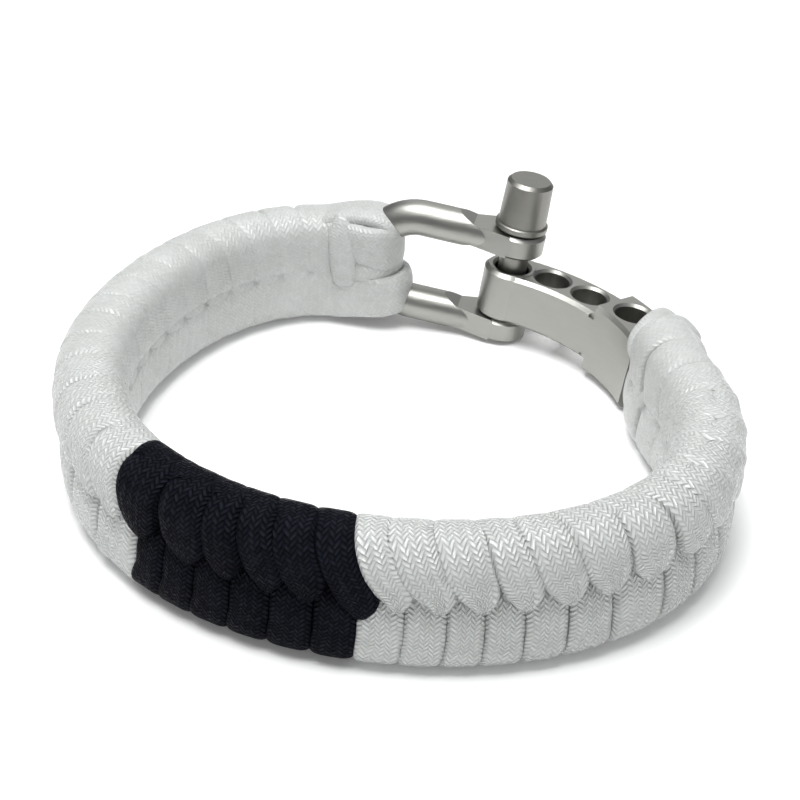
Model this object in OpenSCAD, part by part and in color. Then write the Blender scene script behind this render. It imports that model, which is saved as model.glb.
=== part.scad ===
// Fishtail woven cord bracelet, white with a black stretch, closed by an adjustable bow shackle.
// It lies on its side: the wrist axis is +Z, the floor is z = 0, the shackle is at the back (+Y).

/* [Loop] */
// Width of the whole loop from side to side, over the outer faces of the band
loop_w = 79.4; // [70:0.2:90]
// Depth of the whole loop from front to back, over the outer faces of the band
loop_d = 80.7; // [72:0.2:92]

/* [Band] */
// Width of the woven band, its height as it lies
band_w = 16.3; // [13:0.1:20]
// Thickness of the woven band
band_t = 8; // [6:0.1:10]
// Depth of the seams between neighbouring turns of cord
seam_depth = 0.85; // [0.3:0.05:1.2]
// Depth of the step where the upper turns dive over the lower ones
step_depth = 1.1; // [0.4:0.05:1.6]
// How far the round tips of the upper turns reach down past the middle
tip_reach = 1.5; // [0.5:0.1:2.5]
// Share of the band's length where the black stretch begins, from the bow
black_from = 0.43; // [0.3:0.01:0.5]
// Share of the band's length where the black stretch ends
black_to = 0.587; // [0.52:0.005:0.7]
// Turns of cord along one edge of the first white stretch
bow_turns = 15; // [10:1:22]
// Turns of cord along one edge of the black stretch
black_turns = 6; // [3:1:10]
// Share of the band's length up to which the turns after the black stretch lie as close
close_to = 0.706; // [0.6:0.001:0.8]
// Turns of cord in the close part of the last white stretch
close_turns = 5; // [3:1:8]
// Turns of cord in its wider part, up to the bar
loose_turns = 10; // [6:1:16]

/* [Shackle] */
// Diameter of the bow's rod
rod_d = 4.9; // [4:0.1:6]
// Gap between the two eyes
eye_gap = 9.7; // [9:0.1:12]
// Thickness of each flattened eye
eye_t = 3.1; // [2.6:0.1:4]
// Outer diameter of each eye
eye_d = 7.2; // [6.2:0.1:9]
// Length of the straight arms, from the pin to where the bow's bend starts
arm_len = 13; // [10:0.5:18]
// How far the bow is swung outwards from the line across the loop, in degrees
bow_swing = 10; // [0:1:20]
// How far the whole clasp leans to the right, in degrees
clasp_lean = 6.8; // [0:0.2:10]
// Height of the lower eye above the floor, at the pin
clasp_lift = 0.5; // [0.4:0.1:2]
// Place of the pin's axis to the right of the loop's middle
pin_x = 14.15; // [10:0.05:18]
// Place of the pin's axis behind the loop's middle, as a share of half the loop's depth
pin_y_share = 0.786; // [0.7:0.001:0.85]

/* [Screw pin] */
// Diameter of the pin's shank
pin_d = 4; // [3.2:0.1:4.4]
// Radial play of the shank in the two eyes
pin_play = 0.05; // [0.02:0.01:0.1]
// Diameter of the thumb knob
knob_d = 6.2; // [5:0.1:8]
// Diameter of the collar under the knob
collar_d = 7.1; // [5.5:0.1:8.5]
// Thickness of the collar
collar_t = 0.9; // [0.6:0.1:1.5]
// Height of the knob's top above the upper eye
knob_h = 7.4; // [5:0.1:10]

/* [Adjuster bar] */
// Width of the bar along the pin
bar_w = 7; // [6:0.1:9]
// Thickness of the bar
bar_t = 7.3; // [6.5:0.1:8.5]
// Width of the bar's head, where the cord holds on
head_w = 9.7; // [9:0.1:12]
// Radius of the bar's curve along its middle
bar_r = 24.6; // [22:0.5:40]
// Direction in which the bar leaves the pin, below the line across the loop, in degrees
bar_dip = 13.3; // [6:1:18]
// Diameter of the holes through the bar
hole_d = 4.8; // [4.6:0.1:5.4]
// Distance between the first three holes along the curve
hole_pitch = 5.9; // [5.8:0.1:7]
// Distance from the third hole to the last one, in the head
last_pitch = 7.8; // [7.5:0.1:10]
// Countersink of every hole, along and across
countersink = 0.35; // [0.1:0.05:0.6]
// Length of the head beyond its hole
head_end = 5.4; // [4:0.1:8]
// Thickness of the tongue that the cord is looped round
tongue_t = 3; // [2:0.1:4]
// Length of the tongue's slot along the bar
slot_len = 2.8; // [2:0.1:4]
// Wall of the tongue beyond its slot
tongue_end = 1; // [0.8:0.1:3]

/* [Cord ends] */
// Thickness of the cord where it goes round the bow
bow_cord_t = 2.3; // [1.8:0.1:4]
// Distance from the bow's rod to the start of the weave
bow_cord_len = 4.6; // [4:0.5:10]
// Thickness of the cord on the outer face of the tongue
bar_cord_t = 2.9; // [2:0.1:3.5]

/* [Hidden] */
$fn = 48;

// Colours
white_cord = [0.86, 0.88, 0.87];
black_cord = [0.05, 0.05, 0.07];
steel = [0.66, 0.66, 0.62];

// Small clearances between pieces that meet
gap = 0.1;
rod_gap = 0.15;

// Clasp: heights along the pin, from the outer face of the lower eye
arm_pitch = eye_gap + eye_t;
clasp_h = eye_gap + 2 * eye_t;
clasp_mid = clasp_h / 2;
bar_rest = 0.2;
bar_z = eye_t + bar_rest;
pin_pos = [pin_x, pin_y_share * loop_d / 2, clasp_lift];
bend_r = arm_pitch / 2;
bow_reach = arm_len + bend_r;

// Bar: stations along its curve, from the pin
third_hole_s = 2 * hole_pitch;
head_hole_s = third_hole_s + last_pitch;
waist_cut = 0.5;
waist_s = (third_hole_s + head_hole_s) / 2 - 0.1;
head_s = waist_s + 0.4;
head_proud = 0.1;
waist_depth = 0.8;
head_wall = 0.3;
tongue_s = head_hole_s + hole_d / 2 + head_end;
slot_s = tongue_s + head_wall;
tongue_tip_s = slot_s + slot_len + tongue_end;
tongue_w = head_w - 1.2;
slot_wall = 1.5;
slot_w = tongue_w - 2 * slot_wall;
bar_edge = 0.5;

// Cord ends
tip_cover = 0.7;
bar_cord_s = tongue_tip_s + tip_cover;
lobe_h = band_w / 2 - 0.4;
lobe_edge = 2;
end_size = 0.95;
leg_t = band_t * end_size;
upper_reach = 0.3;
lower_reach = 2;
bar_mid = bar_z + bar_w / 2;
head_top = bar_mid + head_w / 2;
// The two turns of cord round the bar's end. Columns: stations where the turn starts on the bar's
// outer and inner face, stations where it ends on them, lowest and highest point, and edge radius.
turns = [
    [head_hole_s + 1.2, tongue_s - 1, bar_cord_s - 1.2, bar_cord_s - 0.2, head_top - 1.2, head_top + 1.6, 1.4],
    [head_hole_s + 4.6, tongue_s + 0.6, bar_cord_s - gap, bar_cord_s - gap,
     bar_mid - tongue_w / 2 - 0.5, bar_mid + tongue_w / 2 + 4.6, 1.9]
];

// A direction in the plane, and the place of a point of the clasp's own plane in the frame
function dir(a) = [cos(a), sin(a)];
function lean_point(p) = [pin_pos.x + p.x * cos(clasp_lean), pin_pos.y + p.y];

// Bar: direction and place on its curve at a station, in the clasp's plane
function bar_angle(s) = -bar_dip - s / bar_r * 180 / PI;
function bar_point(s) =
    bar_r * [-sin(bar_dip) - sin(bar_angle(s)), cos(bar_angle(s)) - cos(bar_dip)];

// Band: where its middle line starts and ends, with its direction there
bow_out = 180 - bow_swing;
line_start_angle = bow_out + 8;
line_start = lean_point((bow_reach + bow_cord_len) * dir(bow_out));
line_end = lean_point(bar_point(bar_cord_s));
line_end_angle = 180 + bar_angle(bar_cord_s);
half_w = (loop_w - band_t) / 2;
half_d = (loop_d - band_t) / 2;

// Middle line of the band seen from above, as cubic curves through five stations.
// Columns: place across and place back as shares of half the loop, direction, and the reach of the
// curve's handles before and after the station as shares of half the loop's width.
lay = [
    [line_start.x / half_w, line_start.y / half_d, line_start_angle, 0, 0.42],
    [-1, 0.011, 270, 0.45, 0.61],
    [0.11, -1, 360, 0.61, 0.51],
    [1, -0.244, 450, 0.45, 0.2],
    [line_end.x / half_w, line_end.y / half_d, line_end_angle + 360, 0.2, 0]
];
lay_steps = 24;
function station(row) = [row[0] * half_w, row[1] * half_d];
function cubic(a, b, c, d, t) =
    pow(1 - t, 3) * a + 3 * t * pow(1 - t, 2) * b + 3 * t * t * (1 - t) * c + pow(t, 3) * d;
function lay_point(i, t) =
    let (a = station(lay[i]), d = station(lay[i + 1]))
    cubic(a, a + half_w * lay[i][4] * dir(lay[i][2]),
          d - half_w * lay[i + 1][3] * dir(lay[i + 1][2]), d, t);
line = concat(
    [for (i = [0 : len(lay) - 2], k = [0 : lay_steps - 1]) lay_point(i, k / lay_steps)],
    [line_end]);
line_last = len(line) - 1;
line_s = [for (k = 0, s = 0; k <= line_last;
               s = s + (k < line_last ? norm(line[k + 1] - line[k]) : 0), k = k + 1) s];
line_len = line_s[line_last];

// Place of a station on the middle line; past either end the line goes straight on
x_of = [for (k = [0 : line_last]) [line_s[k], line[k].x]];
y_of = [for (k = [0 : line_last]) [line_s[k], line[k].y]];
function on_line(s) =
    let (c = min(max(s, 0), line_len), a = s < 0 ? lay[0][2] : lay[len(lay) - 1][2])
    [lookup(c, x_of), lookup(c, y_of)] + (s - c) * dir(a);
function line_side(s) =
    let (d = on_line(s + 0.6) - on_line(s - 0.6), u = d / norm(d)) [u.y, -u.x];

// Outline of the band across its length, from the top edge down the outer face and up the inner one.
// Columns: place across as a share of half the thickness, outwards; height above the middle as a
// share of half the width; how far the turn has moved on along the band, in turns; depth of the
// seams as a share; depth of the step as a share; how much of the tips' reach it follows.
outline = [
    [0.00, 1.00, 0.00, 0.7, 0, 0],
    [0.50, 0.95, 0.09, 0.7, 0, 0],
    [0.86, 0.80, 0.20, 0.8, 0, 0],
    [1.00, 0.56, 0.36, 0.9, 0, 0],
    [1.03, 0.30, 0.52, 1.0, 0, 0],
    [1.00, 0.08, 0.66, 1.0, 0, 0.7],
    [1.00, 0.00, 0.62, 0.4, 1.0, 1.0],
    [1.00, -0.14, 0.27, 0.6, 0.45, 0.5],
    [1.00, -0.34, 0.25, 0.8, 0, 0],
    [0.98, -0.60, 0.22, 0.7, 0, 0],
    [0.84, -0.82, 0.18, 0.6, 0, 0],
    [0.48, -0.95, 0.11, 0.6, 0, 0],
    [0.00, -1.00, 0.04, 0.6, 0, 0],
    [-0.50, -0.95, -0.03, 0.6, 0, 0],
    [-0.86, -0.80, -0.11, 1.0, 0, 0],
    [-1.00, -0.54, -0.19, 1.0, 0, 0],
    [-1.00, -0.20, -0.31, 0.9, 0, 0],
    [-1.00, 0.00, -0.33, 0.4, 0.4, 0],
    [-1.00, 0.20, -0.28, 0.9, 0, 0],
    [-1.00, 0.54, -0.16, 1.0, 0, 0],
    [-0.86, 0.80, -0.10, 1.0, 0, 0],
    [-0.50, 0.95, -0.05, 1.0, 0, 0]
];
sides = len(outline);

// Four rings to a turn: a seam, two flanks and the crown between them
rings_per_turn = 4;
function crown(k) = let (p = (k % rings_per_turn) / rings_per_turn * 2 - 1) sqrt(1 - p * p);
// The turns stand straight at the band's ends, lean fully after this many rings, and round off
lean_rings = 7;
end_sizes = [[0, end_size], [2, 1]];

// Rings of the whole band: which stretch each belongs to is worked out from its number
white_turns = close_turns + loose_turns;
ring_ends = [0, bow_turns, bow_turns + black_turns, bow_turns + black_turns + close_turns,
             bow_turns + black_turns + white_turns] * rings_per_turn;
share_ends = [0, black_from, black_to, close_to, 1];
share_of = [for (i = [0 : 4]) [ring_ends[i], share_ends[i]]];
ring_count = ring_ends[4];
mean_turn = line_len * rings_per_turn / ring_count;
function ring(k) =
    let (near = min(k, ring_count - k),
         leaned = min(near / lean_rings, 1),
         size = lookup(near, end_sizes),
         s0 = lookup(k, share_of) * line_len)
    [for (row = outline)
        let (s = s0 + row[2] * mean_turn * leaned,
             at = on_line(s),
             side = line_side(s),
             sink = seam_depth * row[3] * (1 - crown(k)) + step_depth * row[4],
             reach = tip_reach * row[5] * (crown(k) - 0.3),
             across = (row[0] * band_t / 2 - sign(row[0]) * sink * abs(row[0])) * size,
             up = (row[1] * (band_w / 2 - sink * pow(row[1], 2)) - reach) * size)
        [at.x + across * side.x, at.y + across * side.y, band_w / 2 + up]];

// One stretch of the band between two of its rings, closed by a fan of triangles at each end
function mean_of(points) = [for (p = points) 1] * points / len(points);
module weave(first, last) {
    rings = [for (k = [first : last]) ring(k)];
    count = len(rings);
    skin = [for (r = rings, p = r) p];
    caps = [mean_of(rings[0]), mean_of(rings[count - 1])];
    first_cap = count * sides;
    last_ring = (count - 1) * sides;
    polyhedron(
        points = concat(skin, caps),
        faces = concat(
            [for (k = [0 : count - 2], j = [0 : sides - 1], half = [0, 1])
                let (a = k * sides + j, b = k * sides + (j + 1) % sides)
                half == 0 ? [a, b, b + sides] : [a, b + sides, a + sides]],
            [for (j = [0 : sides - 1]) [first_cap, (j + 1) % sides, j]],
            [for (j = [0 : sides - 1]) [first_cap + 1, last_ring + j, last_ring + (j + 1) % sides]]));
}

module weave_white_bow() { color(white_cord) weave(ring_ends[0], ring_ends[1]); }
module weave_black() { color(black_cord) weave(ring_ends[1], ring_ends[2]); }
module weave_white_bar() { color(white_cord) weave(ring_ends[2], ring_ends[4]); }

// Frame of the clasp: its origin is on the pin's axis, at the outer face of the lower eye
module in_clasp() { translate(pin_pos) rotate([0, clasp_lean, 0]) children(); }

// Rod of the bow, in the plane across the pin: two arms and the bend between them
module bow_rod(grow) {
    r = rod_d / 2 + grow;
    translate([0, 0, clasp_mid]) {
        for (side = [-1, 1])
            translate([-arm_len, 0, side * bend_r]) rotate([0, 90, 0]) cylinder(h = arm_len, r = r);
        translate([-arm_len, 0, 0]) rotate([90, 90, 0]) rotate_extrude(angle = 180)
            translate([-bend_r, 0]) circle(r = r);
    }
}

shoulder_x = 6.2;
shoulder_len = 2.2;
neck_run = 0.3;
eye_edge = 0.4;
module shackle_bow() {
    color(steel) in_clasp() rotate([0, 0, -bow_swing]) difference() {
        union() {
            intersection() {
                bow_rod(0);
                flattening();
            }
            for (z = [0, eye_t + eye_gap]) translate([0, 0, z]) {
                disc(eye_d / 2, eye_t, eye_edge, 360);
                linear_extrude(eye_t) eye_neck();
            }
        }
        translate([0, 0, -1]) cylinder(h = clasp_h + 2, r = pin_d / 2 + pin_play);
        gap_x = bar_t / 2 + rod_gap * 2;
        translate([-gap_x, -eye_d, eye_t]) cube([gap_x + eye_d, 2 * eye_d, eye_gap]);
    }
}

// Sides of the neck touch the eye's circle and run out inside the rod, just past its pressed stretch
module eye_neck() {
    far = [-shoulder_x - neck_run, sqrt(pow(rod_d, 2) - pow(eye_t, 2)) / 2 - neck_run / 2];
    touch = atan2(far.y, far.x) - acos(eye_d / 2 / norm(far));
    near = eye_d / 2 * dir(touch);
    polygon([near, far, [far.x, -far.y], [near.x, -near.y]]);
}

// The rod is pressed flat towards the eyes: full round to the shoulder, then down to their thickness
module flattening() {
    far = bow_reach + rod_d;
    full = rod_d / 2;
    flat = eye_t / 2;
    for (z = [eye_t / 2, clasp_h - eye_t / 2])
        translate([0, rod_d, z]) rotate([90, 0, 0]) linear_extrude(2 * rod_d)
            polygon([[0, -flat], [-shoulder_x, -flat], [-shoulder_x - shoulder_len, -full],
                     [-arm_len, -full], [-arm_len, full], [-shoulder_x - shoulder_len, full],
                     [-shoulder_x, flat], [0, flat]]);
    translate([-far, -rod_d, -rod_d]) cube([far - arm_len, 2 * rod_d, clasp_h + 2 * rod_d]);
}

neck_h = 0.4;
knob_edge = 0.45;
knob_flare = 0.15;
module screw_pin() {
    seat = 0.05;
    color(steel) in_clasp() rotate_extrude() polygon(concat(
        [[0, 0], [pin_d / 2 - knob_edge / 2, 0], [pin_d / 2, knob_edge / 2], [pin_d / 2, clasp_h + seat]],
        [[knob_d / 2 - knob_edge, clasp_h + seat], [knob_d / 2 - knob_edge, clasp_h + neck_h]],
        [[collar_d / 2 - 0.15, clasp_h + neck_h], [collar_d / 2, clasp_h + neck_h + 0.15]],
        [[collar_d / 2, clasp_h + neck_h + collar_t - 0.15], [collar_d / 2 - 0.15, clasp_h + neck_h + collar_t]],
        [[knob_d / 2 + knob_flare, clasp_h + neck_h + collar_t], [knob_d / 2, clasp_h + knob_h - knob_edge]],
        [[knob_d / 2 - knob_edge, clasp_h + knob_h], [0, clasp_h + knob_h]]));
}

// A block that follows the bar's curve between two stations, with its edges taken off
module bar_block(from, to, thick, wide, edge) {
    half = thick / 2;
    translate(bar_centre()) rotate([0, 0, 90 + bar_angle(to)])
        rotate_extrude(angle = (to - from) / bar_r * 180 / PI)
            translate([bar_r, bar_mid])
                if (edge > 0)
                    polygon([[-half, edge - wide / 2], [edge - half, -wide / 2], [half - edge, -wide / 2],
                             [half, edge - wide / 2], [half, wide / 2 - edge], [half - edge, wide / 2],
                             [edge - half, wide / 2], [-half, wide / 2 - edge]]);
                else square([thick, wide], center = true);
}
function bar_centre() = -bar_r * [sin(bar_dip), cos(bar_dip), 0];

module on_bar(s) { translate(bar_point(s)) rotate([0, 0, bar_angle(s)]) children(); }

module hole(s, wide) {
    r = hole_d / 2;
    on_bar(s) translate([0, 0, bar_mid]) {
        cylinder(h = wide + 2, r = r, center = true);
        for (side = [0, 180]) rotate([side, 0, 0])
            translate([0, 0, wide / 2 - 2 * countersink])
                cylinder(h = 3 * countersink, r1 = r - countersink, r2 = r + 2 * countersink);
    }
}

module adjuster_bar() {
    color(steel) in_clasp() difference() {
        union() {
            on_bar(0) translate([0, 0, bar_z - head_proud])
                disc(bar_t / 2 + head_proud, bar_w + 2 * head_proud, bar_edge, 360);
            bar_block(0, head_s + gap, bar_t, bar_w, bar_edge);
            bar_block(head_s, tongue_s, bar_t + 2 * head_proud, head_w, bar_edge);
            bar_block(tongue_s - gap, tongue_tip_s, tongue_t, tongue_w, bar_edge);
        }
        hole(0, bar_w + 2 * head_proud);
        for (i = [1, 2]) hole(i * hole_pitch, bar_w);
        hole(head_hole_s, head_w);
        for (side = [-1, 1], end = [-1, 1]) on_bar(waist_s)
            translate([0, side * bar_t / 2, bar_mid + end * head_w / 2])
                cylinder(h = head_w - bar_w + 2 * waist_depth, r = waist_cut, center = true);
        bar_block(slot_s, slot_s + slot_len, tongue_t + 1, slot_w, 0);
    }
}

// A disc, or part of one, with its two rims taken off
module disc(r, h, edge, turn) {
    rotate_extrude(angle = turn) polygon([[0, 0], [r - edge, 0], [r, edge], [r, h - edge], [r - edge, h], [0, h]]);
}

// The cord goes round the bow in two fat loops, one above the other, and on into the weave
module cord_loops_bow() {
    color(white_cord) difference() {
        for (side = [-1, 1])
            translate([line_start.x, line_start.y, band_w / 2 + side * (lobe_h / 2 + gap)])
                bow_loop(side > 0 ? upper_reach : lower_reach);
        in_clasp() rotate([0, 0, -bow_swing]) bow_rod(rod_gap);
        band_side(line_start, line_start_angle - 180);
    }
}

module bow_loop(reach) {
    hull() {
        rotate([0, 0, -bow_swing]) translate([bow_cord_len + reach, 0, 0])
            rounded_drum(rod_d / 2 + bow_cord_t, lobe_h, lobe_edge);
        rotate([90, 0, line_start_angle - 90]) linear_extrude(lobe_edge)
            offset(lobe_edge, $fn = 16) square([leg_t - 2 * lobe_edge, lobe_h - 2 * lobe_edge], center = true);
    }
}

// All that lies on the band's side of the plane of one of its ends
module band_side(end, angle) {
    far = 2 * band_w;
    translate([end.x, end.y, -far]) rotate([0, 0, angle]) translate([-far, -far, 0])
        cube([far + gap, 2 * far, 3 * far]);
}

module rounded_drum(r, h, edge) {
    rotate_extrude($fn = 28) intersection() {
        translate([0, -h / 2]) square([r, h]);
        union() {
            square([2 * (r - edge), h], center = true);
            square([2 * r, h - 2 * edge], center = true);
            for (side = [-1, 1]) translate([r - edge, side * (h / 2 - edge)]) circle(r = edge, $fn = 16);
        }
    }
}

// The cord comes through the tongue's slot and wraps its end in two turns, the first one lying
// over the top of the head
module cord_loops_bar() {
    color(white_cord) difference() {
        in_clasp() difference() {
            for (row = turns) bar_turn(row);
            bar_block(0, tongue_s + gap, bar_t + 2 * bar_cord_t, head_w + 2 * gap, 0);
            difference() {
                bar_block(tongue_s, tongue_tip_s + gap, tongue_t + 2 * gap, tongue_w + 2 * gap, 0);
                bar_block(slot_s + gap, slot_s + slot_len - gap, tongue_t + 1, slot_w - 2 * gap, 0);
            }
        }
        band_side(line_end, line_end_angle);
    }
}

// One turn of cord: a soft block as thick as its row says, flush with the head's inner face
module bar_turn(row) {
    edge = row[6];
    outer = tongue_t / 2 + bar_cord_t - edge;
    inner = edge - bar_t / 2 - head_proud;
    hull() for (corner = [[row[0] + edge, outer], [row[1] + edge, inner], [row[2] - edge, outer],
                          [row[3] - edge, inner]], z = [row[4] + edge, row[5] - edge])
        on_bar(corner[0]) translate([0, corner[1], z]) sphere(r = edge, $fn = 16);
}

weave_white_bow();
weave_black();
weave_white_bar();
cord_loops_bow();
cord_loops_bar();
shackle_bow();
screw_pin();
adjuster_bar();
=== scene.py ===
import math
import random

import bpy
import numpy as np
from mathutils import Matrix, Vector


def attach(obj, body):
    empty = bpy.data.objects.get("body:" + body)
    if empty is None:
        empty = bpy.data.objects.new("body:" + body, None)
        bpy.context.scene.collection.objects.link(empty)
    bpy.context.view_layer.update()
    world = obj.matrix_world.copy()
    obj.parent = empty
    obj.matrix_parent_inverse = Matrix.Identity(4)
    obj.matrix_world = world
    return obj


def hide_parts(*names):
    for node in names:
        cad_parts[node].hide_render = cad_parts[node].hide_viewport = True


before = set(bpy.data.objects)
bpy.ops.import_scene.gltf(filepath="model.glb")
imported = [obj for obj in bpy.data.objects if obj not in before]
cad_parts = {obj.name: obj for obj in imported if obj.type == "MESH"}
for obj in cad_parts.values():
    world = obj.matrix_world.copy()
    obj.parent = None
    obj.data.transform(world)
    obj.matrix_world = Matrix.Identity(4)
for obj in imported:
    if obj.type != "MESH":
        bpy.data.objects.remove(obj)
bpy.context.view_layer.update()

MM = 0.001
random.seed(11)


# Band: the middle line of part.scad, in millimetres

BAND_W = 16.3
# Half the width and half the depth of the middle line
HALF_W, HALF_D = 35.7, 36.35
# The clasp: the pin's lower end, the lean to the right, and the swing of the bow outwards in degrees
PIN = np.array([14.15, 31.715, 0.5])
LEAN = math.radians(6.8)
PIN_AXIS = np.array([math.sin(LEAN), 0, math.cos(LEAN)])
BOW_SWING = 10
# The bar: radius of its curve, its direction at the pin, the height of its middle, and the cord's station
BAR_R, BAR_DIP = 24.6, math.radians(13.3)
BAR_MID = 6.8
BAR_CORD_S = 32.2
# Distance from the pin to the start of the weave
WEAVE_START = 24.0


def heading(degrees):
    a = math.radians(degrees)
    return np.array([math.cos(a), math.sin(a)])


def bar_angle(s):
    return -BAR_DIP - s / BAR_R


def bar_point(s):
    a = bar_angle(s)
    return BAR_R * np.array([-math.sin(BAR_DIP) - math.sin(a), math.cos(a) - math.cos(BAR_DIP)])


def on_floor_plan(p):
    return np.array([PIN[0] + p[0] * math.cos(LEAN), PIN[1] + p[1]])


def lengths(points):
    """Length along a row of points, from its first one."""
    return np.concatenate([[0], np.cumsum(np.linalg.norm(np.diff(points, axis=0), axis=1))])


line_start = on_floor_plan(WEAVE_START * heading(180 - BOW_SWING))
line_end = on_floor_plan(bar_point(BAR_CORD_S))
# Place, direction, and handles before and after, of each station of the middle line
LAY = [
    (line_start, 178, 0, 0.42),
    (np.array([-HALF_W, 0.011 * HALF_D]), 270, 0.45, 0.61),
    (np.array([0.11 * HALF_W, -HALF_D]), 360, 0.61, 0.51),
    (np.array([HALF_W, -0.244 * HALF_D]), 450, 0.45, 0.2),
    (line_end, 540 + math.degrees(bar_angle(BAR_CORD_S)), 0.2, 0),
]
LAY_STEPS = 80
points = []
for (a, da, _, out), (d, dd, into, _) in zip(LAY, LAY[1:]):
    b, c = a + HALF_W * out * heading(da), d - HALF_W * into * heading(dd)
    for t in np.linspace(0, 1, LAY_STEPS, endpoint=False):
        points.append((1 - t) ** 3 * a + 3 * t * (1 - t) ** 2 * b + 3 * t * t * (1 - t) * c + t ** 3 * d)
LINE = np.array(points + [line_end])
LINE_S = lengths(LINE)
LENGTH = LINE_S[-1]
# Distance before and after a station over which the line's direction is measured
LOOK = 0.4


def on_line(s):
    """Places on the middle line and the directions outwards, for an array of stations."""
    s = np.asarray(s, float)
    c = np.clip(s, 0, LENGTH)

    def at(x):
        return np.stack([np.interp(x, LINE_S, LINE[:, 0]), np.interp(x, LINE_S, LINE[:, 1])], -1)

    d = at(np.minimum(c + LOOK, LENGTH)) - at(np.maximum(c - LOOK, 0))
    d /= np.linalg.norm(d, axis=-1)[..., None]
    place = at(c) + (s - c)[..., None] * d
    return place, np.stack([d[..., 1], -d[..., 0]], -1)


# Turns of cord along one edge, counted from the bow, and the shares of the length that they have reached
TURNS = [0, 15, 21, 26, 36]
SHARES = [0, 0.43, 0.587, 0.706, 1]
PITCH = LENGTH / TURNS[-1]


def station(turn):
    turn = np.asarray(turn, float)
    inside = np.interp(turn, TURNS, SHARES) * LENGTH
    return inside + (np.minimum(turn, 0) + np.maximum(turn - TURNS[-1], 0)) * PITCH


# Cords as swept meshes

class Skin:
    """Gathers swept cords into one mesh, with a UV map in millimetres along and round each cord."""

    def __init__(self):
        self.verts, self.faces, self.uvs, self.count = [], [], [], 0

    def sweep(self, path, normal, wide, thick, power, sides=28, start_u=0.0):
        """path (n, 3), normal (n, 3), wide, thick (mm) and power (n): the section is a rounded oblong."""
        n = len(path)
        tangent = np.gradient(path, axis=0)
        tangent /= np.linalg.norm(tangent, axis=1)[:, None]
        normal = normal - (normal * tangent).sum(1)[:, None] * tangent
        normal /= np.linalg.norm(normal, axis=1)[:, None]
        across = np.cross(tangent, normal)
        a = np.linspace(0, 2 * math.pi, sides + 1) - math.pi / 2
        wide, thick, power = (np.broadcast_to(v, n) for v in (wide, thick, power))
        cx = np.sign(np.cos(a)) * np.abs(np.cos(a)) ** (2 / power[:, None])
        cy = np.sign(np.sin(a)) * np.abs(np.sin(a)) ** (2 / power[:, None])
        x, y = wide[:, None] / 2 * cx[:, :-1], thick[:, None] / 2 * cy[:, :-1]
        p = path[:, None] + x[..., None] * across[:, None] + y[..., None] * normal[:, None]
        along = start_u + lengths(path)
        mid = n // 2
        edge = lengths(np.stack([wide[mid] / 2 * cx[mid], thick[mid] / 2 * cy[mid]], 1))
        base = self.count
        self.verts.append(p.reshape(-1, 3))
        for i in range(n - 1):
            for j in range(sides):
                k = (j + 1) % sides
                self.faces.append((base + i * sides + j, base + i * sides + k,
                                   base + (i + 1) * sides + k, base + (i + 1) * sides + j))
                self.uvs += [(along[i], edge[j]), (along[i], edge[j + 1]),
                             (along[i + 1], edge[j + 1]), (along[i + 1], edge[j])]
        for ring, order in ((0, -1), (n - 1, 1)):
            self.faces.append(tuple(base + ring * sides + j for j in range(sides))[::order])
            self.uvs += [(along[ring], 0)] * sides
        self.count += n * sides

    def make(self, name, material, node):
        """The mesh as a piece of the band that stands for a solid."""
        mesh = bpy.data.meshes.new(name)
        mesh.from_pydata((np.concatenate(self.verts) * MM).tolist(), [], self.faces)
        layer = mesh.uv_layers.new(name="cord")
        layer.data.foreach_set("uv", np.array(self.uvs, np.float32).ravel())
        mesh.polygons.foreach_set("use_smooth", [True] * len(mesh.polygons))
        mesh.materials.append(material)
        obj = bpy.data.objects.new(name, mesh)
        bpy.context.scene.collection.objects.link(obj)
        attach(obj, "band")
        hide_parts(node)


# Points on a smooth curve between two rows of knots
KNOT_STEPS = 14


def smooth(knots, count, places):
    """A smooth curve through rows of numbers, sampled evenly by length of its last columns, the places."""
    k = np.array(knots, float)
    k = np.vstack([2 * k[0] - k[1], k, 2 * k[-1] - k[-2]])
    out = []
    for i in range(1, len(k) - 2):
        p0, p1, p2, p3 = k[i - 1:i + 3]
        for t in np.linspace(0, 1, KNOT_STEPS, endpoint=False):
            out.append(0.5 * (2 * p1 + (p2 - p0) * t + (2 * p0 - 5 * p1 + 4 * p2 - p3) * t * t
                              + (3 * p1 - p0 - 3 * p2 + p3) * t ** 3))
    out = np.array(out + [k[-2]])
    s = lengths(out[:, -places:])
    at = np.linspace(0, s[-1], count)
    return np.stack([np.interp(at, s, out[:, c]) for c in range(k.shape[1])], 1)


# Materials

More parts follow.
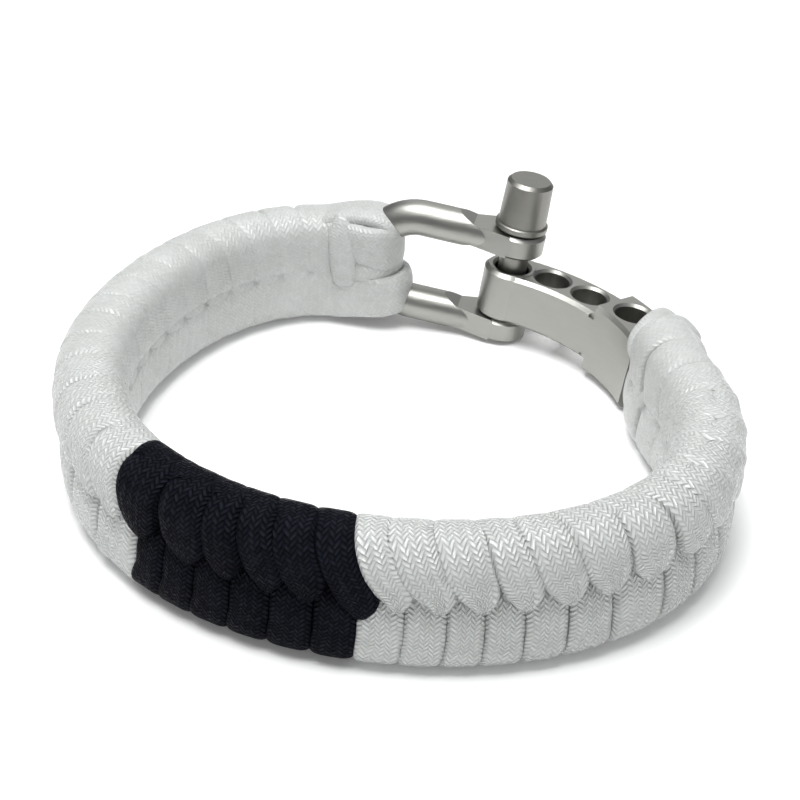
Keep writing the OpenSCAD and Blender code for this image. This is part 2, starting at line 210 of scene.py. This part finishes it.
class Nodes:
    """Short way to write shader arithmetic."""

    def __init__(self, name):
        self.material = bpy.data.materials.new(name)
        self.material.use_nodes = True
        self.tree = self.material.node_tree
        self.shader = self.tree.nodes["Principled BSDF"]

    def new(self, kind, **settings):
        node = self.tree.nodes.new("ShaderNode" + kind)
        for key, value in settings.items():
            setattr(node, key, value)
        return node

    def link(self, value, socket):
        if isinstance(value, bpy.types.NodeSocket):
            self.tree.links.new(value, socket)
        else:
            socket.default_value = value

    def math(self, op, *values, clamp=False):
        node = self.new("Math", operation=op, use_clamp=clamp)
        for value, socket in zip(values, node.inputs):
            self.link(value, socket)
        return node.outputs[0]

    def add(self, a, b):
        return self.math("ADD", a, b)

    def subtract(self, a, b):
        return self.math("SUBTRACT", a, b)

    def times(self, a, b):
        return self.math("MULTIPLY", a, b)

    def times_add(self, a, b, c, clamp=False):
        return self.math("MULTIPLY_ADD", a, b, c, clamp=clamp)

    def mix(self, factor, a, b):
        node = self.new("Mix", data_type="RGBA")
        self.link(factor, node.inputs[0])
        self.link(a, node.inputs[6])
        self.link(b, node.inputs[7])
        return node.outputs[2]

    def noise(self, scale, detail=2.0, vector=None, rough=0.5):
        node = self.new("TexNoise")
        node.inputs["Scale"].default_value = scale
        node.inputs["Detail"].default_value = detail
        node.inputs["Roughness"].default_value = rough
        self.link(vector if vector is not None else self.object_place(), node.inputs["Vector"])
        return node.outputs["Fac"]

    def object_place(self):
        return self.new("TexCoord").outputs["Object"]

    def split(self, vector):
        node = self.new("SeparateXYZ")
        self.link(vector, node.inputs[0])
        return node.outputs

    def vector_math(self, op, a, b, output):
        node = self.new("VectorMath", operation=op)
        self.link(a, node.inputs[0])
        node.inputs[1].default_value = b
        return node.outputs[output]

    def bump(self, height, distance, strength=1.0, normal=None):
        node = self.new("Bump")
        node.inputs["Distance"].default_value = distance
        self.link(strength, node.inputs["Strength"])
        self.link(height, node.inputs["Height"])
        if normal is not None:
            self.link(normal, node.inputs["Normal"])
        return node.outputs[0]


# The braid: width of a yarn in mm, and yarns for each such width along and round the cord
YARN, YARNS_ALONG, YARNS_ROUND = 0.38, 0.80, 0.62
# How far the yarns stray, in yarns; fibres seen in a yarn, and their share of its relief
STRAY, FIBRES, FIBRE_SHARE = 0.9, 5, 0.02
# Relief of the yarns and of the cord's soft dents, in metres
YARN_RELIEF, SOFT_DENTS = 0.00017, 0.0002
# Scales of the noise in a cord: where yarns stray, how strong the painted shade in the hollows is, colour and
# soft dents
STRAY_SCALE, HOLLOW_SHADE_SCALE, COLOUR_SCALE, DENT_SCALE = 260.0, 150.0, 90.0, 220.0
# The even painted shade that takes the place of the hollows' painted shade where the braid is matted down
MATTED_PAINTED_SHADE = 0.9
# The loop's depth over which the braid gets matted, in metres
MATTED_FROM, MATTED_TO = -0.030, 0.0


def sheath(name, colour, tint, hollow_shade_colour, rough, gloss, hollows, matted):
    """Braided nylon sheath: two sets of yarns, each passing over two of the other.

    colour and tint are the lightest and darkest yarns, the third colour the painted shade in the hollows
    between yarns, hollows the base strength of that painted shade, and matted the share of the braid that
    still stands out at the back.
    """
    n = Nodes(name)
    along, round_it, _ = n.split(n.new("UVMap", uv_map="cord").outputs[0])
    stray = n.times(n.subtract(n.noise(STRAY_SCALE, 1.0), 0.5), STRAY)
    x = n.times(along, YARNS_ALONG / YARN)
    y = n.add(n.times(round_it, YARNS_ROUND / YARN), stray)
    a, b = n.add(x, y), n.subtract(x, y)
    ia, ib = n.math("FLOOR", a), n.math("FLOOR", b)
    fa, fb = n.subtract(a, ia), n.subtract(b, ib)
    phase = n.math("FLOORED_MODULO", n.subtract(ia, ib), 4.0)
    over = n.math("LESS_THAN", phase, 1.5)
    under = n.subtract(1.0, over)

    def float_height(cross, run, cells):
        bow = n.math("POWER", n.math("SINE", n.times(cross, math.pi)), 0.6)
        share = n.times(n.add(cells, run), 0.5)
        rise = n.math("SINE", n.times(share, math.pi), clamp=True)
        fibre = n.times(n.math("SINE", n.times(cross, FIBRES * 2 * math.pi)), FIBRE_SHARE)
        return n.add(n.times(bow, n.times_add(rise, 0.6, 0.4)), fibre)

    ha = float_height(fa, fb, n.subtract(1.0, phase))
    hb = float_height(fb, fa, n.subtract(phase, 2.0))
    height = n.add(n.times(ha, over), n.times(hb, under))
    # One random number for each float of yarn, so that some take the light more than others
    key = n.new("CombineXYZ")
    n.link(n.add(n.times(ia, over), n.times(n.add(ib, 997.0), under)), key.inputs[0])
    n.link(n.math("FLOOR", n.times(n.subtract(ia, ib), 0.25)), key.inputs[1])
    chance = n.new("TexWhiteNoise", noise_dimensions="2D")
    n.link(key.outputs[0], chance.inputs["Vector"])
    each = chance.outputs["Value"]
    # The yarns stand out at the front of the loop and are matted down towards the back
    fade = n.new("MapRange")
    n.link(n.split(n.object_place())[1], fade.inputs["Value"])
    for socket, value in (("From Min", MATTED_FROM), ("From Max", MATTED_TO),
                          ("To Min", 1.0), ("To Max", matted)):
        fade.inputs[socket].default_value = value
    clear = fade.outputs[0]
    # Painted shade: the hollows between the yarns are darkened in the base colour, more strongly in some
    # patches than in others
    hollow_shade_strength = n.times_add(n.noise(HOLLOW_SHADE_SCALE, 2.0), 0.7, hollows, clamp=True)
    hollow_shade = n.subtract(1.0 - MATTED_PAINTED_SHADE, n.math("POWER", height, 0.8, clamp=True))
    # Painted shade: towards the back the hollows' painted shade gives way to an even painted shade, darker
    # than the front's mean
    hollow_shade = n.times_add(hollow_shade, clear, MATTED_PAINTED_SHADE)
    shade = n.subtract(1.0, n.times(hollow_shade, hollow_shade_strength))
    body = n.mix(n.times_add(n.noise(COLOUR_SCALE, 2.0), 0.4, n.times(each, 0.6)), tint, colour)
    n.link(n.mix(shade, hollow_shade_colour, body), n.shader.inputs["Base Color"])
    n.link(n.times_add(n.times(each, clear), -0.28, rough + 0.12), n.shader.inputs["Roughness"])
    n.shader.inputs["Specular IOR Level"].default_value = gloss
    dent = n.bump(n.noise(DENT_SCALE, 1.0), SOFT_DENTS, 0.25)
    n.link(n.bump(height, YARN_RELIEF, clear, dent), n.shader.inputs["Normal"])
    return n.material


# Scale of the steel's grain, level and upright, and of its blotches and dents
GRAIN, BLOTCHES, DENTS = (300.0, 300.0, 2500.0), 160.0, 420.0
# Shade of the darkest blotch, and relief of the dents and of the grain in metres
BLOTCH_SHADE, DENT_RELIEF, GRAIN_RELIEF = 0.86, 0.00012, 0.00005


def metal(name, colour, rough):
    """Satin steel: directional grain, soft blotches, and fine dents."""
    n = Nodes(name)
    place = n.object_place()
    grain = n.noise(1.0, 4.0, n.vector_math("MULTIPLY", place, GRAIN, 0), 0.6)
    blot = n.noise(BLOTCHES, 3.0, place)
    dark = tuple(c * BLOTCH_SHADE for c in colour[:3]) + (1,)
    n.link(n.mix(blot, dark, colour), n.shader.inputs["Base Color"])
    n.shader.inputs["Metallic"].default_value = 1.0
    r = n.add(n.times(blot, 0.10), n.times(grain, 0.16))
    n.link(n.add(r, rough - 0.13), n.shader.inputs["Roughness"])
    dents = n.bump(n.noise(DENTS, 2.0, place), DENT_RELIEF, 0.25)
    n.link(n.bump(grain, GRAIN_RELIEF, 0.4, dents), n.shader.inputs["Normal"])
    return n


# Pin's thread: its length and pitch in mm, and its relief in metres
THREAD_LEN, THREAD_PITCH, THREAD_RELIEF = 3.8, 0.7, 0.0007


def thread(n):
    """Screw thread in relief at the lower end of the pin."""

    def from_pin(way):
        along = n.vector_math("DOT_PRODUCT", n.object_place(), way / MM, "Value")
        return n.subtract(along, float(PIN @ way))

    up, y = from_pin(PIN_AXIS), from_pin(np.array([0, 1, 0]))
    x = from_pin(np.array([PIN_AXIS[2], 0, -PIN_AXIS[0]]))
    turn = n.math("DIVIDE", n.math("ARCTAN2", y, x), 2 * math.pi)
    wave = n.math("FRACT", n.add(n.math("DIVIDE", up, THREAD_PITCH), turn))
    ridge = n.math("ABSOLUTE", n.subtract(wave, 0.5))
    ridge = n.times(ridge, n.math("LESS_THAN", up, THREAD_LEN))
    before = n.shader.inputs["Normal"].links[0].from_socket
    n.link(n.bump(ridge, THREAD_RELIEF, 1.0, before), n.shader.inputs["Normal"])


white = sheath("white_sheath", colour=(0.62, 0.64, 0.63, 1), tint=(0.53, 0.54, 0.525, 1),
               hollow_shade_colour=(0.35, 0.355, 0.34, 1), rough=0.29, gloss=0.65, hollows=0.1, matted=0.45)
black = sheath("black_sheath", colour=(0.015, 0.0165, 0.024, 1), tint=(0.006, 0.0065, 0.0095, 1),
               hollow_shade_colour=(0.0002, 0.0002, 0.0005, 1), rough=0.42, gloss=0.014, hollows=0.6, matted=1.0)


# The weave: one lobe of cord for each half turn

# Columns: lean, then outwards and up from the band's middle in mm. Each lobe starts in the gap between the
# two core cords, goes over the inner face, round the edge and over the outer face, and dives back into
# the gap. The lean is in turns up to the edge, and from there a share of the way to the lobe's tip.
UPPER = [
    (-0.36, -0.3, 0.2), (-0.34, -1.9, 0.35), (-0.32, -2.62, 1.1), (-0.26, -2.72, 2.4), (-0.18, -2.72, 4.2),
    (-0.11, -2.35, 5.7), (-0.04, -1.1, 6.6), (0.0, 0.4, 6.75), (0.10, 1.7, 6.4), (0.34, 2.6, 5.2),
    (0.64, 2.85, 3.8), (0.87, 2.95, 2.8), (0.98, 2.9, 1.9), (1.0, 2.5, 0.9), (1.0, 1.5, 0.2), (1.0, 0.0, 0.2),
]
LOWER = [
    (-0.36, -0.3, -0.2), (-0.34, -1.9, -0.35), (-0.32, -2.62, -1.1), (-0.26, -2.72, -2.4),
    (-0.19, -2.72, -4.2), (-0.12, -2.35, -5.7), (-0.06, -1.1, -6.6), (0.0, 0.4, -6.75),
    (0.35, 1.7, -6.4), (0.7, 2.5, -5.3), (0.95, 2.65, -3.8), (1.0, 2.6, -2.4), (1.0, 2.3, -0.8),
    (1.0, 1.7, 0.7), (1.0, 0.7, 1.6), (1.0, -0.4, 1.7),
]
# A short crossing that closes the middle of the inner face, in the same columns
CROSSING = [(-0.42, -2.3, 1.9), (-0.34, -2.95, 0.8), (-0.22, -2.95, -0.8), (-0.14, -2.3, -1.9)]
# A crossing's thickness in mm, and its width as a share of the pitch
CROSSING_T, CROSSING_FULL = 1.8, 0.96
LOBE_RINGS, CROSSING_RINGS = 50, 14
STRAND_T = 2.75
# Squareness of a strand's section, where 2 is an ellipse, and what lobes of white and black have beyond it
SQUARENESS, FLUSH_WHITE, FLUSH_BLACK = 2.4, 2.6, 1.2
# Distance of the lobes on the inner face from the band's middle
INNER_FACE = 2.7
# Turns from the band's end over which the lobes come to lean
LEAN_TURNS = 1.75
# How much wider than the pitch the upper and the lower lobes are laid
FULL_UPPER, FULL_LOWER = 1.07, 1.10
# The outer lobes round off from this height down over this length
TIP_START, TIP_LEN = 3.5, 2.95
# The core cords: places up and down from the band's middle, width, thickness, and distance from the ends
CORE_PLACES, CORE_W, CORE_T, CORE_END = (-3.6, 3.6), 5.6, 3.4, 0.3
# Length of cord from which each strand's place in the braid is drawn
BRAID_LEN = 40
# Places where the turns lie closer or wider than even, in turns, by the number of the seam or lobe
TOP_SEAM = {14: 0.1, 15: 0.2, 16: 0.55, 17: 0.7, 18: 0.48, 19: 0.28, 20: 0.17, 21: 0.03, 22: -0.21,
            23: -0.12, 24: 0.07, 25: -0.08, 26: 0.03, 27: 0.1, 28: 0.11, 29: -0.15, 30: -0.3, 31: -0.3,
            32: -0.4, 33: -0.2}
TIP = {16: 1.35, 17: 1.32, 18: 1.3, 19: 1.15, 20: 1.32, 21: 1.14, 22: 1.08, 23: 1.0, 24: 1.0, 25: 1.02,
       26: 0.85, 27: 0.8}
LOW_SEAM = {14: 0.4, 15: 0.84, 16: 0.65, 17: 0.5, 18: 0.4, 19: 0.32, 20: 0.27, 21: 0.22, 22: 0.29,
            23: 0.25, 24: 0.11, 25: 0.03, 26: 0.05, 27: -0.05}
# How much further down some tips reach, in mm
REACH = {20: 1.3}


def laid(set_places, low, high):
    """Places of the seams or tips in turns, by chance between low and high where none is set."""
    return [k + set_places.get(k, random.uniform(low, high)) for k in range(-1, TURNS[-1] + 3)]


top_seam = laid(TOP_SEAM, -0.08, 0.08)
tip = laid(TIP, 0.98, 1.12)
low_seam = laid(LOW_SEAM, 0.05, 0.2)


def lobe(skin, k, upper, flush):
    """Half turn number k; flush is how much squarer it is than a cord, up to its tip."""
    near = min(k + 0.5, TURNS[-1] - k - 0.5)
    lean = min(near / LEAN_TURNS, 1)
    path = smooth(UPPER if upper else LOWER, LOBE_RINGS, 2)
    # Entry of the lists of seams and tips, which begin one half turn before the band
    i = k + 1
    if upper:
        path[:, 2] -= REACH.get(k, 0) * np.clip(path[:, 0], 0, 1)
        start, start_w = (top_seam[i] + top_seam[i + 1]) / 2, top_seam[i + 1] - top_seam[i]
        end, end_w = tip[i], (tip[i + 1] - tip[i - 1]) / 2
    else:
        end, end_w = (low_seam[i] + low_seam[i + 1]) / 2, low_seam[i + 1] - low_seam[i]
        start, start_w = k + 0.5 + 0.3 * (end - k - 0.5), 1.0
    share = np.clip(path[:, 0], 0, 1)
    off_inner = np.clip(1 + path[:, 1] / INNER_FACE, 0, 1)
    edge = k + 0.5 + (start - k - 0.5) * off_inner
    turn = edge + lean * (np.minimum(path[:, 0], 0) + share * (end - start))
    wide = 1 + (start_w - 1) * off_inner
    wide = wide + share * (end_w - wide)
    place, side = on_line(station(turn))
    d = np.gradient(path[:, 1:], axis=0)
    out = (1 if upper else -1) * np.stack([-d[:, 1], d[:, 0]], 1)
    p = np.column_stack([place + side * path[:, 1:2], BAND_W / 2 + path[:, 2]])
    normal = np.column_stack([side * out[:, :1], out[:, 1]])
    pitch = station(turn + 0.5) - station(turn - 0.5)
    # Narrower where it dives between the core cords, squarer than a cord up to its tip, and a round tip
    full = FULL_UPPER if upper else FULL_LOWER
    ends = np.interp(np.linspace(0, 1, LOBE_RINGS), [0, 0.08, 0.9, 1], [0.8, full, full, 1.0])
    tight = np.interp(share, [0, 0.3, 0.75, 1], [1, 1, 0.5, 0] if upper else [1, 1, 1, 0.5])
    if upper:
        past = np.clip((TIP_START - REACH.get(k, 0) - path[:, 2]) / TIP_LEN, 0, 0.93) * (path[:, 1] > 0)
        ends = ends * np.sqrt(1 - past ** 2)
    skin.sweep(p, normal, pitch * wide * ends, STRAND_T, SQUARENESS + flush * tight,
               start_u=random.uniform(0, BRAID_LEN))


def weave(name, first, last, material, node, flush):
    skin = Skin()
    for k in range(first, last):
        lobe(skin, k, True, flush)
        lobe(skin, k, False, flush)
    for k in range(first, last):
        path = smooth(CROSSING, CROSSING_RINGS, 2)
        place, side = on_line(station(k + 0.5 + path[:, 0]))
        p = np.column_stack([place + side * path[:, 1:2], BAND_W / 2 + path[:, 2]])
        wide = CROSSING_FULL * float(station(k + 1) - station(k))
        skin.sweep(p, np.column_stack([-side, np.zeros(len(p))]), wide, CROSSING_T, SQUARENESS,
                   start_u=random.uniform(0, BRAID_LEN))
    for v in CORE_PLACES:
        s = np.linspace(station(first) + CORE_END, station(last) - CORE_END, (last - first) * 4)
        place, side = on_line(s)
        p = np.column_stack([place, np.full(len(s), BAND_W / 2 + v)])
        skin.sweep(p, np.column_stack([side, np.zeros(len(s))]), CORE_W, CORE_T, SQUARENESS, sides=12)
    skin.make(name, material, node)


weave("cord_white_bow_side", TURNS[0], TURNS[1], white, "weave_white_bow", FLUSH_WHITE)
weave("cord_black", TURNS[1], TURNS[2], black, "weave_black", FLUSH_BLACK)
weave("cord_white_bar_side", TURNS[2], TURNS[4], white, "weave_white_bar", FLUSH_WHITE)


# Cord round the bow and round the bar's end

# Place along the clasp's line towards the pin from the end of the weave, place back from that line, and
# height; then the strand's width and thickness, all in mm
BOW_STRANDS = [
    [(-2.5, 0.0, 14.5, 6.2, 2.2), (0.0, 0.2, 15.2, 6.4, 2.4), (3.0, 0.2, 15.9, 6.6, 2.4),
     (6.0, 0.1, 16.0, 6.6, 2.4), (8.0, 0.0, 15.1, 6.2, 2.4), (8.9, 0.0, 13.4, 5.8, 2.2)],
    [(-2.5, -2.0, 12.4, 5.0, 2.4), (0.5, -2.5, 12.9, 5.4, 2.4), (3.0, -3.1, 13.1, 5.4, 2.4),
     (5.4, -3.6, 12.9, 5.6, 2.4), (7.8, -2.6, 12.4, 6.2, 2.4), (8.75, 0.0, 12.0, 6.8, 2.4),
     (7.8, 2.6, 11.9, 6.8, 2.4), (4.9, 3.75, 12.1, 7.0, 2.4), (2.0, 3.2, 12.2, 7.2, 2.4),
     (-2.5, 2.4, 12.2, 7.0, 2.4)],
    [(-2.5, -1.6, 8.6, 4.0, 2.4), (1.0, -2.3, 8.7, 4.2, 2.4), (4.0, -3.0, 9.2, 4.2, 2.4),
     (6.5, -2.8, 9.4, 4.0, 2.4), (8.2, -1.2, 9.4, 3.6, 2.4), (8.4, 1.0, 9.4, 3.4, 2.4),
     (6.0, 3.0, 9.2, 3.6, 2.4), (2.0, 3.0, 8.6, 4.0, 2.4), (-2.5, 1.8, 8.4, 4.0, 2.4)],
    [(-2.5, -2.3, 4.3, 7.0, 2.4), (1.0, -2.8, 4.5, 6.8, 2.4), (4.5, -3.1, 4.9, 6.4, 2.4),
     (7.2, -3.3, 5.2, 6.2, 2.4), (9.4, -2.4, 5.5, 6.0, 2.4), (10.1, 0.0, 5.5, 6.0, 2.4),
     (9.2, 2.5, 5.2, 6.2, 2.4), (6.6, 3.5, 4.8, 6.6, 2.4), (3.0, 3.2, 4.3, 7.4, 2.4),
     (-2.5, 2.4, 4.2, 7.0, 2.4)],
    [(0.4, -1.6, 15.6, 3.0, 2.0), (1.4, -2.8, 14.9, 3.5, 2.2), (1.9, -3.5, 13.0, 3.9, 2.3),
     (2.1, -3.7, 10.6, 3.9, 2.3), (2.3, -3.5, 8.0, 3.6, 2.3), (2.4, -2.6, 6.3, 3.0, 2.0)],
]
# Station on the bar, place out from its middle line, and height on the clasp; then width and thickness
BAR_STRANDS = [
    [(23.6, 3.2, 10.6, 4.6, 2.2), (23.6, 3.1, 12.4, 4.6, 2.2), (24.6, 1.4, 13.1, 4.8, 2.2),
     (26.2, -0.8, 13.1, 4.9, 2.2), (27.9, -2.6, 12.4, 4.8, 2.2), (28.9, -3.0, 11.0, 4.4, 2.2),
     (29.3, -2.2, 9.2, 3.8, 2.2)],
    [(26.6, 3.2, 2.8, 4.2, 2.4), (26.8, 3.4, 7.0, 4.4, 2.4), (27.2, 3.3, 11.5, 4.6, 2.4),
     (27.8, 2.6, 13.9, 4.8, 2.4), (29.0, 0.4, 14.7, 5.0, 2.4), (30.4, -1.6, 14.2, 4.8, 2.4),
     (31.3, -2.8, 12.4, 4.4, 2.4), (31.8, -2.8, 9.6, 4.0, 2.4)],
    [(30.6, 2.0, 2.6, 4.0, 2.4), (30.9, 3.3, 4.8, 4.2, 2.4), (31.2, 3.4, 9.0, 4.4, 2.4),
     (31.4, 3.0, 13.0, 4.4, 2.4), (32.0, 1.2, 15.0, 4.2, 2.4), (32.6, -0.8, 14.8, 4.0, 2.4)],
    [(30.1, -2.0, 10.8, 3.4, 2.0), (30.1, -2.8, 9.2, 4.0, 2.2), (30.2, -3.1, 7.0, 4.4, 2.3),
     (30.5, -3.0, 4.6, 4.3, 2.3), (31.2, -2.4, 2.9, 3.6, 2.0), (32.2, -1.4, 2.6, 3.0, 2.0)],
    [(27.9, 0.0, 3.2, 3.6, 1.6), (30.0, 0.0, 2.9, 4.0, 1.8), (33.0, 0.0, 3.2, 4.0, 1.8)],
]
STRAND_RINGS = 46
END_SQUARENESS = 2.7
# Where the bow's bend starts along the clasp's line
BEND_START = 5.2
# A strand above this height and this near the line goes over the bow's top, which has its middle here
OVER_TOP, OVER_SIDE, TOP_MID = 13.2, 1.2, 12.0


def by_bow(r):
    ahead, back = heading(-BOW_SWING), heading(90 - BOW_SWING)
    return np.append(line_start + ahead * r[0] + back * r[1], r[2])


def bow_middle(r):
    over_top = r[2] >= OVER_TOP and abs(r[1]) <= OVER_SIDE
    return by_bow((min(r[0], BEND_START), 0.0, TOP_MID if over_top else r[2]))


def by_bar(r):
    a = bar_angle(r[0])
    x, y = bar_point(r[0]) + r[1] * np.array([-math.sin(a), math.cos(a)])
    c, d = math.cos(LEAN), math.sin(LEAN)
    return PIN + np.array([x * c + r[2] * d, y, r[2] * c - x * d])


def bar_middle(r):
    return by_bar((r[0], 0.0, 0.3 * r[2] + 0.7 * BAR_MID))


def cord_ends(name, node, strands, place, middle):
    """place(row) gives a strand's point in mm, and middle(row) a point on its inner side."""
    skin = Skin()
    for strand in strands:
        rows = smooth([r[3:] + r[:3] for r in strand], STRAND_RINGS, 3)
        path = np.array([place(r[2:]) for r in rows])
        normal = path - np.array([middle(r[2:]) for r in rows])
        # Thinner at both ends, which lie in the weave
        grow =np.interp(np.linspace(0, 1, STRAND_RINGS), [0, 0.06, 0.94, 1], [0.6, 1, 1, 0.6])
        skin.sweep(path, normal, rows[:, 0] * grow, rows[:, 1] * grow, END_SQUARENESS,
                   start_u=random.uniform(0, BRAID_LEN))
    skin.make(name, white, node)


cord_ends("cord_round_bow", "cord_loops_bow", BOW_STRANDS, by_bow, bow_middle)
cord_ends("cord_round_bar", "cord_loops_bar", BAR_STRANDS, by_bar, bar_middle)


# Steel

steel = metal("satin_steel", (0.38, 0.38, 0.355, 1), 0.40)
pin_steel = metal("pin_steel", (0.295, 0.29, 0.268, 1), 0.42)
thread(pin_steel)
for node, made_of, slot in (("shackle_bow", steel, "shackle_steel"), ("adjuster_bar", steel, "bar_steel"),
                            ("screw_pin", pin_steel, "pin_steel")):
    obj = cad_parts[node]
    obj.data.materials.clear()
    obj.data.materials.append(made_of.material)


# Floor, light and camera

FLOOR_HALF = 3.0


def stage_floor():
    mesh = bpy.data.meshes.new("floor")
    r = FLOOR_HALF
    mesh.from_pydata([(-r, -r, 0), (r, -r, 0), (r, r, 0), (-r, r, 0)], [], [(0, 1, 2, 3)])
    obj = bpy.data.objects.new("floor", mesh)
    n = Nodes("floor_white")
    n.shader.inputs["Base Color"].default_value = (0.95, 0.95, 0.95, 1)
    n.shader.inputs["Roughness"].default_value = 0.9
    n.shader.inputs["Emission Color"].default_value = (1, 1, 1, 1)
    n.shader.inputs["Emission Strength"].default_value = 0.1
    mesh.materials.append(n.material)
    bpy.context.scene.collection.objects.link(obj)


def area(name, place, target, size, power):
    data = bpy.data.lights.new(name, "AREA")
    data.shape, data.size, data.energy = "SQUARE", size, power
    obj = bpy.data.objects.new(name, data)
    obj.location = place
    obj.rotation_euler = (Vector(target) - Vector(place)).to_track_quat("-Z", "Y").to_euler()
    bpy.context.scene.collection.objects.link(obj)


stage_floor()
area("key", (-0.08, -0.02, 0.65), (0, 0, 0), size=0.45, power=4.2)
area("back_panel", (0.1, 0.75, 0.5), (0, 0, 0), size=0.7, power=1.05)
area("inner_panel", (-0.03, -0.07, 0.24), (-0.02, 0.04, 0.0), size=0.1, power=0.21)
area("fill", (0.5, -0.3, 0.35), (0, 0, 0), size=0.5, power=0.24)
world = bpy.data.worlds.new("studio")
bpy.context.scene.world = world
world.use_nodes = True
background = world.node_tree.nodes["Background"]
background.inputs["Color"].default_value = (0.95, 0.97, 1.0, 1)
background.inputs["Strength"].default_value = 0.24
bpy.context.scene.view_settings.view_transform = "Standard"

# The camera looks down by TILT from DISTANCE in metres, and is turned by ROLL about its own axis
TILT, ROLL, DISTANCE = math.radians(32), math.radians(2.46), 0.1995
target = Vector((0.00075, 0.01296, 0.0))
camera = bpy.data.cameras.new("camera")
camera.lens, camera.sensor_width = 68.8, 36.0
camera.clip_start, camera.clip_end = 0.01, 10.0
eye = bpy.data.objects.new("camera", camera)
ahead = Vector((0, math.cos(TILT), -math.sin(TILT)))
level, above = Vector((1, 0, 0)), Vector((0, math.sin(TILT), math.cos(TILT)))
right = level * math.cos(ROLL) + above * math.sin(ROLL)
up = above * math.cos(ROLL) - level * math.sin(ROLL)
turned = Matrix((right, up, -ahead)).transposed().to_4x4()
eye.matrix_world = Matrix.Translation(target - ahead * DISTANCE) @ turned
bpy.context.scene.collection.objects.link(eye)
bpy.context.scene.camera = eye
